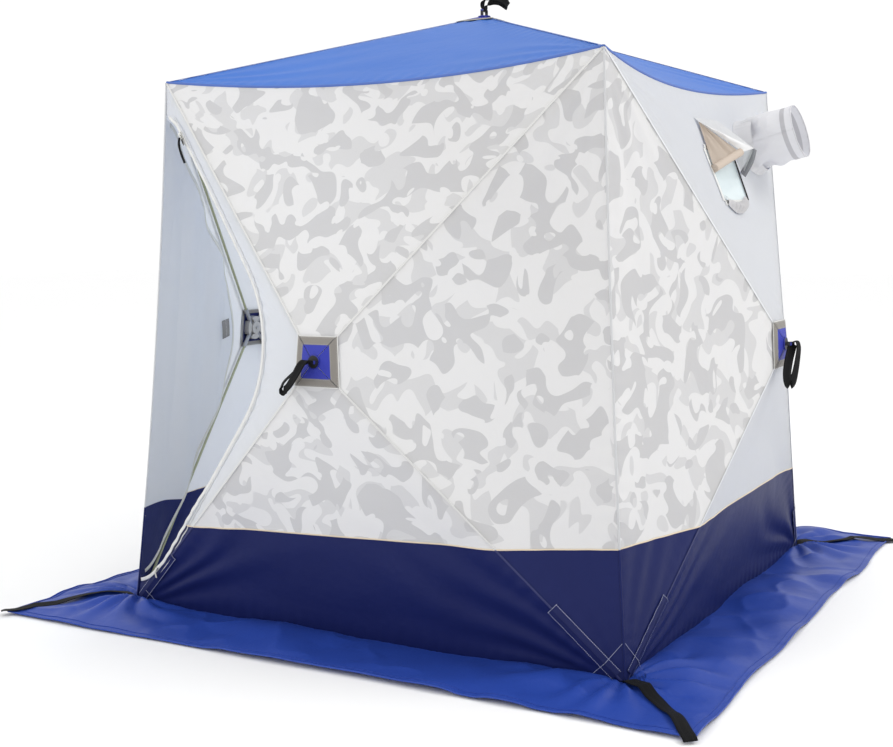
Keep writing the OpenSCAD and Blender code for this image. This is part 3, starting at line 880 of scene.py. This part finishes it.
# ---- edges that stay with the corners
def edge_places(panel, count=90):
    return panel.at(np.linspace(0.002, panel.length - 0.002, count), 0.0)


def on_root(obj, *nodes):
    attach(obj, "root")
    if nodes:
        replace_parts(obj, *nodes)
    return obj


EAVES = joined("eave_piping", [
    tube(f"eave_{f}", edge_places(PANELS[f, "upper"]) + [0, 0, 0.001], 0.0042, BLUE_TAPE) for f in WALLS])
on_root(EAVES, "eave_bands")

for k, face in enumerate(WALLS):
    panel = PANELS[face, "right"]
    outward = unit(panel.out + PANELS[WALLS[(k + 1) % 4], "left"].out)
    welt = tube(f"welt_{face}", edge_places(panel, 120) + outward * 0.0005, 0.0034, WALL_CLOTH, 10)
    with_band(welt, panel, FLAP_BAND_RISE if face == "left" else 0.0)
    on_root(welt, "upright_bands")

# Stitched strips over the rod pockets, in a V at each lower corner
POCKET_LEN = 0.290
POCKET_HALF = 0.020
DIAMOND = 0.115  # half the diagonal of the stitched square at the corner


def pocket_strip(panel, which):
    d, along = np.meshgrid(np.linspace(0.0, POCKET_HALF, 7), np.linspace(0.035, POCKET_LEN, 40))
    u = panel.seam(which)
    a = along * u[0] + d * u[1]
    a = panel.length - a if which else a
    r = np.maximum(along * u[1] - d * u[0], 0.002)
    points = panel.at(a, r, relief(panel, a, r, 0) * 0.4 + 0.0028)
    strip = panel.blend(add_grid(f"{panel.node}_pocket_{which}", points, NAVY_STRIP, d, along))
    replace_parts(strip, "rod_pockets")
    sewn(panel, strip)
    return strip


def corner_threads(panel, which):
    """Raised lines of stitching: a side of the corner's square, and the pocket strip's end."""
    u = panel.seam(which)
    tip = POCKET_LEN * u
    lines = [(np.array([DIAMOND, 0.003]), 0.5 * DIAMOND * math.sqrt(2) * u),
             (tip + POCKET_HALF * np.array([u[1], -u[0]]), tip)]
    for k, ends in enumerate(lines):
        if panel is DOOR_PANEL and k == 0:
            continue
        line = between(*ends, 24)
        if which:
            line = [panel.length, 0] + line * [-1, 1]
        piece = laid_ribbon(f"{panel.node}_thread_{which}{k}", panel, line, 0.0014, 0.0044, THREAD, 0.0008)
        sewn(panel, piece)


pockets = [pocket_strip(PANELS[face, side], which) for face in WALLS
           for side, which in (("lower", 0), ("left", 1), ("lower", 1), ("right", 0))]
for face in WALLS:
    for side, which in (("lower", 0), ("lower", 1), ("left", 1), ("right", 0)):
        corner_threads(PANELS[face, side], which)


# ---- pull loops
# Down the wall, out from it and to the right, in millimetres from the loop's pin
WALL_LOOP = ((0, 3, 0), (-7, 12, 0), (-4, 21, -3), (14, 26, -10), (50, 24, -24), (92, 19, -42),
             (118, 14, -58), (126, 8, -68), (116, 3, -76), (88, 1, -70), (50, 2, -46), (16, 5, -20),
             (2, 4, -3))
# Along the roof, up and across
ROOF_LOOP = ((0, 3, 0), (-6, 20, -2), (0, 36, -4), (22, 45, -6), (56, 42, -8), (84, 28, -6), (92, 12, 0),
             (84, 15, 6), (58, 29, 8), (28, 32, 8), (10, 22, 6), (2, 5, 2))
LOOP_WIDE = 0.029
LOOPS = {}


def pull_loop(face):
    joint, roof = JOINTS[f"{face}_pull_loop_swing"], face == "roof"
    pin = np.array(joint["pos_m"])
    across = -np.array(joint["axis"])
    out = PANELS[face, "front" if roof else "lower"].normal
    hang = np.cross(across, out)
    if (hang[0] < 0) if roof else (hang[2] > 0):
        hang = -hang
    path = smooth_path(ROOF_LOOP if roof else WALL_LOOP, 10) / 1000
    if face == "front":
        path = path * [0.70, 1.15, 1.30]
    g = np.linspace(0, 1, len(path))
    place = pin + path @ [hang, out, across]
    lean = 0.75 * smooth_step(g / 0.8)
    if roof:
        lean = smooth_step((g - 0.1) / 0.25) * smooth_step((1 - g) / 0.15)
    wide = np.cos(lean)[:, None] * across + np.sin(lean)[:, None] * out
    loop = ribbon(f"{face}_pull_loop_webbing", place, wide, LOOP_WIDE, 0.0030, WEBBING, 8)
    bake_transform(loop)
    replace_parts(loop, f"{face}_pull_loop")
    LOOPS[face] = (loop, lengths(place)[-1])


for face in FACES:
    pull_loop(face)


# ---- skirt and straps
SKIRT_IN = 0.894
SKIRT_OUT = 1.200


def skirt_height(x, y, v):
    """Height of the skirt; v is 0 at the wall and 1 at the hem."""
    wave = soft_noise(x * 2.6, y * 2.6, 21) + 0.5 * soft_noise(x * 7, y * 7, 22)
    ridge = np.clip(np.abs(soft_noise(x * 4.3 + 2, y * 4.3, 23)) - 0.35, 0, 1)
    hill = np.sin(math.pi * np.clip(0.14 + 0.80 * v, 0, 1))
    crease = np.abs(soft_noise(x * 6.1 + y * 3.0, y * 6.1 - x * 3.0, 25)) ** 0.6
    far = np.hypot(np.abs(x) - SKIRT_IN, np.abs(y) - SKIRT_IN)
    turn = np.arctan2(np.abs(y) - SKIRT_IN, np.abs(x) - SKIRT_IN)
    fan = 0.5 + 0.5 * np.sin(turn * 12 + 3.5 * soft_noise(x * 5, y * 5, 26))
    bunch = 0.026 * fan * np.exp(-(far / 0.30) ** 2) * smooth_step(far / 0.05)
    bunch = bunch * (1 - np.exp(-((turn - math.pi / 4) / 0.30) ** 2))
    return (0.0042 + (0.021 * np.clip(wave + 0.30, 0, 2) + 0.012 * (1 - crease) + bunch) * hill
            + 0.020 * ridge * v)


def skirt_places(v, count=720):
    """A closed path round the tent at v across the skirt."""
    half = SKIRT_IN + (SKIRT_OUT - SKIRT_IN) * v
    u = np.linspace(-1, 1, count // 4, endpoint=False)
    one = np.ones_like(u)
    xy = half * np.concatenate([np.stack(side, 1) for side in ((u, -one), (one, u), (-u, one), (-one, -u))])
    xy *= (1 + v * 0.009 * soft_noise(xy[:, 0] * 3, xy[:, 1] * 3, 24))[:, None]
    return np.column_stack([xy, skirt_height(xy[:, 0], xy[:, 1], v)])


def round_skirt(name, v, rise, radius, sides):
    """A tube laid right round the skirt, at v across it."""
    path = skirt_places(v)
    return on_root(tube(name, np.concatenate([path, path[:1]]) + [0, 0, rise], radius, SKIRT_CLOTH, sides))


cloth = np.stack([skirt_places(v) for v in np.linspace(0, 1, 44)])
SKIRT = on_root(add_grid("ground_skirt", cloth, SKIRT_CLOTH, cloth[..., 0], cloth[..., 1], True), "skirt")
HEM = round_skirt("skirt_hem", 1.0, 0.0004, 0.0028, 8)
HEM_SEAM = round_skirt("skirt_hem_seam", 0.94, 0.0006, 0.0012, 6)

STRAP_LEN = 0.445


def corner_strap(k, x, y):
    out = unit(np.array([x, y, 0.0]))
    level = np.array([-out[1], out[0], 0.0])
    far = np.linspace(0, STRAP_LEN, 70)
    bow = 0.020 * np.sin(far / STRAP_LEN * math.pi * 1.3 + k) - 0.020 * math.sin(k)
    flat = np.array([0.900 * x, 0.900 * y, 0.0]) + far[:, None] * out + bow[:, None] * level
    v = (np.max(np.abs(flat[:, :2]), axis=1) - SKIRT_IN) / (SKIRT_OUT - SKIRT_IN)
    lift = skirt_height(flat[:, 0], flat[:, 1], np.clip(v, 0, 1)) * smooth_step((1.12 - v) / 0.08) + 0.0038
    lift += 0.009 * np.exp(-(far / 0.12) ** 2) * smooth_step(far / 0.02)
    lift += 0.006 * np.clip(np.sin(far * 24 + k), 0, 1) * smooth_step(far / 0.1)
    path = flat + lift[:, None] * UP
    wide = level + 0.15 * np.sin(far * 17 + 2 * k)[:, None] * UP
    strap = ribbon(f"corner_strap_{'abcd'[k]}", path, wide, 0.038, 0.0022, WEBBING, 8)
    return on_root(strap, "corner_straps")


STRAPS = [corner_strap(k, x, y) for k, (x, y) in enumerate(((1, -1), (1, 1), (-1, 1), (-1, -1)))]

# ---- vent
VENT_SEED = list(PANELS.values()).index(VENT)


def vent_at(a, r, off=0.0):
    a, r = np.asarray(a, float), np.asarray(r, float)
    return VENT.at(a, r, relief(VENT, a, r, VENT_SEED) + off)


def between_corners(corners, cols, rows):
    """A grid of places between four corners, given in the order of its columns and rows."""
    x, y = np.meshgrid(np.linspace(0, 1, cols), np.linspace(0, 1, rows))
    x, y = x[..., None], y[..., None]
    p00, p10, p01, p11 = corners
    return (p00 * (1 - x) + p10 * x) * (1 - y) + (p01 * (1 - x) + p11 * x) * y, x, y


def vent_window():
    grid = between_corners(WINDOW[[0, 1, 3, 2]], 24, 20)[0]
    a, r = grid[..., 0], grid[..., 1]
    points = vent_at(a, r, 0.0008 + 0.0012 * soft_noise(a * 12, r * 12, 41))
    return VENT.blend(add_grid("vent_window_film", points, CLEAR_FILM, a, r))


def clear_film():
    sh = Shader("clear_film")
    place, _, _ = sh.map("cloth")
    shader = sh.add("ShaderNodeBsdfPrincipled")
    tone = sh.mix(sh.noise(place, 9.0, 2.0), (0.72, 0.84, 0.85), (0.80, 0.90, 0.90))
    sh.put(shader.inputs["Base Color"], tone)
    shader.inputs["Roughness"].default_value = 0.12
    clear = sh.add("ShaderNodeBsdfTransparent")
    return sh.shown(sh.either(0.22, shader.outputs[0], clear.outputs[0]))


CLEAR_FILM = clear_film()
FILM = vent_window()
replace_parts(FILM, "vent_window")

centre = WINDOW.mean(axis=0)
for k, (p, q) in enumerate(WINDOW_SIDES):
    line = between(p, q, 40) + unit((p + q) / 2 - centre) * 0.006
    name = f"vent_window_binding_{k}"
    sewn(VENT, laid_ribbon(name, VENT, line, 0.018, 0.0022, WHITE_TAPE, 0.0022, VENT_SEED))
    if max(p[0], q[0]) < 0.70:
        name = f"vent_window_edge_{k}"
        sewn(VENT, laid_ribbon(name, VENT, between(p, q, 40), 0.007, 0.0045, WEBBING, 0.004, VENT_SEED))


def gathered_pocket():
    x, y = np.meshgrid(np.linspace(0, 1, 120), np.linspace(0, 1, 16))
    a = 0.862 - 0.203 * x + 0.008 * np.sin(3 * x) * y
    r = 0.436 - 0.024 * np.abs(2 * x - 1) ** 2.5 + (0.034 + 0.008 * np.sin(math.pi * x)) * y
    pleat = 0.0085 * np.sin(x * 2 * math.pi * 9 + 2 * soft_noise(x * 6, y * 2, 51))
    pleat = pleat * np.sin(math.pi * y) ** 0.7 * np.sin(math.pi * x) ** 0.6
    swell = 0.014 * np.sin(math.pi * y) ** 0.8 * np.sin(math.pi * np.clip(x, 0.02, 0.98)) ** 0.3
    off = 0.005 + swell + pleat
    piece = add_grid("vent_window_pocket", vent_at(a, r, off), POCKET_CLOTH, x * 0.3, y * 0.05)
    sewn(VENT, VENT.blend(piece))


gathered_pocket()

# Hood: a white top flap with a beige gusset on one side, its beige darkened with painted shade, and a white
# gusset on the other with a grey band of painted shade along its outer edge
DOWN = -UP
FRONTWARD = np.array([0, -1.0, 0])
HOOD_START, HOOD_TIP, HOOD_FOOT = (0.818, 0.136, 0.008), (0.630, 0.266, 0.086), (0.874, 0.318, 0.009)
HOOD_RIGHT_TOP, HOOD_RIGHT_FOOT = (0.592, 0.127, 0.004), (0.580, 0.332, 0.004)
HOOD_BACK_LEFT, HOOD_BACK_RIGHT = (0.826, 0.118, 0.003), (0.600, 0.116, 0.003)


def patch3(name, p00, p10, p01, p11, cols, rows, bulge, folds, seed, material, towards=None):
    """A curved cloth patch between four corner places, bulging out of its own plane."""
    points, x, y = between_corners((p00, p10, p01, p11), cols, rows)
    normal = unit(np.cross(p10 - p00, p01 - p00))
    if towards is not None and normal @ towards < 0:
        normal = -normal
    tent = np.sin(math.pi * x) * np.sin(math.pi * y)
    ripple = folds * np.sin(x * 17 + seed + 2.5 * soft_noise(x * 3, y * 3, seed))
    ripple = ripple * np.sqrt(np.clip(tent, 0, 1))
    points = points + normal * (bulge * tent + ripple)
    wide, tall = (max(np.linalg.norm(p - p00), 0.1) for p in (p10, p01))
    return add_grid(name, points, material, x[..., 0] * wide, y[..., 0] * tall)


p_start, p_tip, p_foot = vent_at(*HOOD_START), vent_at(*HOOD_TIP), vent_at(*HOOD_FOOT)
p_right_top, p_right_foot = vent_at(*HOOD_RIGHT_TOP), vent_at(*HOOD_RIGHT_FOOT)
p_back_left, p_back_right = vent_at(*HOOD_BACK_LEFT), vent_at(*HOOD_BACK_RIGHT)
on_edge = p_start + (p_tip - p_start) * 0.74 + DOWN * 0.036 + VENT.out * 0.002
hem_tip = p_tip + DOWN * 0.006
hood_parts = [
    patch3("hood_top", p_back_left, p_back_right, p_start, p_tip, 40, 30, 0.010, 0.0030, 61, PLAIN_WHITE),
    patch3("hood_left", p_start, p_start + (on_edge - p_start) * 0.02, p_foot, on_edge,
           40, 40, -0.004, 0.0060, 62, BEIGE_SHADED_CLOTH, FRONTWARD),
    patch3("hood_hem", p_start, p_tip, p_start + (on_edge - p_start) * 0.03,
           on_edge + (hem_tip - on_edge) * 0.18, 40, 8, 0.009, 0.0020, 64, HEM_WHITE, FRONTWARD),
    patch3("hood_right", p_right_top, p_tip, p_right_top + (p_right_foot - p_right_top) * 0.05,
           p_right_foot, 30, 30, 0.006, 0.0020, 63, PLAIN_WHITE),
]
roll_path = smooth_path([on_edge, (on_edge * 0.55 + p_foot * 0.45) - VENT.out * 0.006, p_foot], 16)
hood_parts.append(tube("hood_roll", roll_path, 0.0135, BEIGE_ROLL, 12))
# grey band of painted shade along the right gusset's outer edge, from the hood's tip to its foot
shade_band_path = smooth_path([p_tip, (p_tip * 0.5 + p_right_foot * 0.5) + VENT.out * 0.008, p_right_foot], 16)
shade_band_wide = p_right_top - p_right_foot
hood_parts.append(ribbon("hood_right_shade_band", shade_band_path, shade_band_wide, 0.026, 0.0020, HOOD_SHADE_GREY, 6))
HOOD = joined("vent_hood_cloth", hood_parts)
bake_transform(HOOD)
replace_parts(HOOD, "vent_hood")

# Sleeve
SLEEVE_RISE = math.radians(16)
SLEEVE_LEN = 0.182
SLEEVE_BAND = (0.142, 0.158)  # where its grey band begins and ends
SLEEVE_RADIUS = 0.0905
COLLAR_RADIUS = 0.108
sleeve_root = VENT.at(*SLEEVE_AT)
sleeve_axis = np.array([math.cos(SLEEVE_RISE), 0, math.sin(SLEEVE_RISE)])
sleeve_x = unit(VENT.along - (VENT.along @ sleeve_axis) * sleeve_axis)
sleeve_y = np.cross(sleeve_axis, sleeve_x)
if sleeve_y @ VENT.inward < 0:
    sleeve_y = -sleeve_y


def sleeve_place(turn, far, radius):
    turn, far, radius = np.broadcast_arrays(turn, far, radius)
    return (sleeve_root + far[..., None] * sleeve_axis + (radius * np.cos(turn))[..., None] * sleeve_x
            + (radius * np.sin(turn))[..., None] * sleeve_y)


def sleeve_cloth_finish():
    sh = Shader("sleeve_banded")
    place, _, far = sh.map("cloth")
    tone = sh.mix(sh.noise(place, 6.0, 2.0), (0.755, 0.75, 0.765), (0.80, 0.795, 0.805))
    start, end = (sh.step(far, at, 0.0008) for at in SLEEVE_BAND)
    on = sh.times(start, sh.math("SUBTRACT", 1.0, end))
    colour = sh.mix(on, tone, (0.47, 0.46, 0.47))
    return sh.finish(colour, 0.55, creases(sh, place), 0.0016, 0.20, light=SLEEVE_GLOW)


SLEEVE_BANDED = sleeve_cloth_finish()


def vent_sleeve():
    turn, far = np.meshgrid(np.linspace(0, 2 * math.pi, 144, endpoint=False), np.linspace(0.0, 1.0, 64))
    x = -0.004 + (SLEEVE_LEN + 0.004) * far
    fade = np.exp(-((far - 0.30) / 0.32) ** 2)
    wrinkle = 0.0220 * fade * soft_noise(turn * 1.9 + far * 2.6, far * 2.6 - turn * 0.6, 71)
    wrinkle += 0.0028 * np.exp(-far / 0.14) * np.sin(turn * 26 + 3 * soft_noise(turn * 2, far * 3, 72))
    ends = smooth_step((2 * math.pi - turn) / 0.5) * smooth_step(turn / 0.5)
    radius = SLEEVE_RADIUS + 0.0015 * far + np.clip(wrinkle * ends, -0.016, 0.009)
    places = sleeve_place(turn, x, radius)
    piece = add_grid("vent_sleeve_cloth", places, SLEEVE_BANDED, turn * 0.09, x, True)
    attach(piece, "right_panel_upper")
    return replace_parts(piece, "vent_sleeve")


SLEEVE = vent_sleeve()
turn = np.linspace(0, 2 * math.pi, 73)
SLEEVE_HEM = tube("vent_sleeve_hem", sleeve_place(turn, SLEEVE_LEN, 0.0918), 0.0020, SLEEVE_CLOTH, 8)
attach(SLEEVE_HEM, "right_panel_upper")


def sleeve_collar():
    """The gathered cloth between the sleeve's root and the wall."""
    turn, g = np.meshgrid(np.linspace(0, 2 * math.pi, 168, endpoint=False), np.linspace(0, 1, 14))
    high = sleeve_place(turn, 0.040 + 0 * turn, 0.0925 + 0 * turn)
    wide = COLLAR_RADIUS + 0.005 * soft_noise(np.cos(turn) * 2, np.sin(turn) * 2, 75)
    wall = vent_at(SLEEVE_AT[0] + wide * np.cos(turn), SLEEVE_AT[1] + wide * 1.03 * np.sin(turn), 0.0012)
    bend = g ** 0.75
    points = high * (1 - bend[..., None]) + wall * bend[..., None]
    pleats = 0.0036 * np.sin(turn * 22 + 2.6 * soft_noise(np.cos(turn) * 3, np.sin(turn) * 3, 76))
    pleats = pleats * np.sin(math.pi * g) ** 0.8
    points += (pleats - 0.006 * np.sin(math.pi * g))[..., None] * VENT.out
    piece = add_grid("vent_sleeve_collar", points, SLEEVE_CLOTH, turn * 0.1, g * 0.05 + 0.3, True)
    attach(piece, "right_panel_upper")
    return piece


COLLAR = sleeve_collar()


# ---- zip and CAD nodes that stay
def refinish(node, material):
    obj = frame["nodes"][node]
    if not obj.material_slots:
        obj.data.materials.append(material)
    for holder in obj.material_slots:
        holder.material = material


for face in FACES:
    lower = PANELS[face, "front" if face == "roof" else "lower"]
    refinish(f"{face}_hub", hub_finish(f"hub_plastic_{face}", lower.apex, lower.normal))
    for rod in (f"{face}_rod_{k}" for k in "abcd"):
        refinish(rod, rod_finish(f"fibreglass_{rod}", JOINTS[f"{rod}_pin"]["pos_m"]))
refinish("door_zip_slider", ZIP_METAL)

zip_mid = np.mean(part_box("door_zip_slider"), axis=0)
hang = smooth_path(zip_mid + [(0.0, -0.012, 0.002), (0.004, -0.020, -0.022), (0.010, -0.016, -0.052),
                              (0.016, -0.008, -0.080)], 10)
ZIP_TAG = ribbon("door_zip_tag", hang, (1.0, -0.3, 0.1), 0.012, 0.003, WEBBING, 6)
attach(ZIP_TAG, "door_zip_slider")


def low_slider():
    """The second slider, parked at the foot of the zip, with its cream pull tag."""
    panel = DOOR_PANEL
    foot = (OUTLINE + OUT_SIDE * 0.002)[-16]
    place = panel.at(*foot, 0.004)
    ahead = unit(panel.flat(*(foot + OUT_AHEAD[-16] * 0.01)) - panel.flat(*foot))
    body = ribbon("slider_body", np.array([place - ahead * 0.013, place, place + ahead * 0.013]),
                  np.cross(panel.out, ahead), 0.011, 0.007, ZIP_METAL, 6)
    tag_path = smooth_path([place + panel.out * 0.005, place + panel.out * 0.011 + DOWN * 0.012,
                            place + panel.out * 0.007 + DOWN * 0.034], 10)
    tag = ribbon("slider_tag", tag_path, np.cross(panel.out, DOWN), 0.009, 0.0022, CREAM_TAPE, 6)
    return panel.blend(joined("door_low_slider", [body, tag]))


LOW_SLIDER = low_slider()

# ---- CAD panels and flap hidden behind their cloth, and each piece's sewn-on pieces
sewn(DOOR_PANEL, FRAME_ZIP, FRAME_WELT, LOW_SLIDER)


def sheets(slot, piece, flat, held, rests_on, trims=(), **more):
    """Lists a piece's sewn-on pieces in a local table that nothing keeps; it neither declares the piece nor
    gives it a slot.
    """
    if trims:
        more["with_pieces"] = list(trims)


for panel in PANELS.values():
    cloth = CLOTHS[panel.node]
    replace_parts(cloth, panel.node)
    camo = cloth.data.materials[0] == CAMO_CLOTH
    slot = "roof_fabric" if panel.face == "roof" else "camo_fabric" if camo else "white_fabric"
    rods = [f"{panel.face}_rod_{'abcd'[panel.k]}", f"{panel.face}_rod_{'bcda'[panel.k]}"]
    flat = tuple(round(float(v), 3) for v in (panel.length, panel.reach))
    area = round(float(0.5 * panel.length * panel.reach), 3)
    if panel is DOOR_PANEL:
        rods, flat, area = ["front_rod_a", "front_rod_d"], (0.29, 2.2), 0.20
    sheets(slot, cloth, flat, "stretched", rods, trims[panel.node], area=area)

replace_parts(FLAP, "door_flap")
sheets("white_fabric", FLAP, (1.57, 0.61), "hung", ["left_panel_right"], [FLAP_ZIP, FLAP_PATCH], area=0.61)
sheets("skirt_fabric", SKIRT, (2.4, 2.4), "laid", ["corner_straps"], [HEM, HEM_SEAM], area=2.56)
for strap in STRAPS:
    sheets("webbing", strap, (0.040, 0.450), "laid", ["ground_skirt"])
for face, (loop, size) in LOOPS.items():
    sheets("webbing", loop, (LOOP_WIDE, round(size, 3)), "hung", [f"{face}_hub"])
sheets("webbing", ZIP_TAG, (0.012, 0.085), "hung", ["door_zip_slider"])
wall = [CLOTHS[VENT.node].name]
sheets("beige_lining", HOOD, (0.40, 0.27), "stretched", wall)
sheets("white_fabric", SLEEVE, (0.57, 0.19), "gathered", wall, [SLEEVE_HEM])
sheets("white_fabric", COLLAR, (0.66, 0.06), "gathered", wall)
sheets("clear_film", FILM, (0.26, 0.21), "stretched", wall)

# ---- floor and light
FLOOR = object_finish("floor", (0.97, 0.97, 0.97), 0.9, 0.995)
floor = add_mesh("floor", [(-30, -30, -0.0015), (30, -30, -0.0015), (30, 30, -0.0015), (-30, 30, -0.0015)],
                 [(0, 1, 2, 3)], FLOOR)

world = bpy.data.worlds.new("studio")
world.use_nodes = True
sky = world.node_tree.nodes["Background"].inputs
sky["Color"].default_value = (1.0, 1.0, 1.0, 1)
sky["Strength"].default_value = 1.03
scene.world = world


def soft_light(name, place, target, size, power, colour=(1, 1, 1)):
    data = bpy.data.lights.new(name, "AREA")
    data.shape = "DISK"
    data.size = size
    data.energy = power
    data.color = colour
    light = bpy.data.objects.new(name, data)
    light.location = place
    light.rotation_euler = (Vector(target) - Vector(place)).to_track_quat("-Z", "Y").to_euler()
    scene.collection.objects.link(light)


soft_light("key", (4.8, 1.8, 5.6), (0.6, 0, 0.9), 3.0, 115)
soft_light("fill", (-4.0, -5.5, 4.2), (0, 0, 0.9), 3.5, 60)
soft_light("inside", (0.1, 0.1, 1.35), (-0.6, -0.2, 0.5), 0.8, 8, (0.82, 0.91, 1.0))
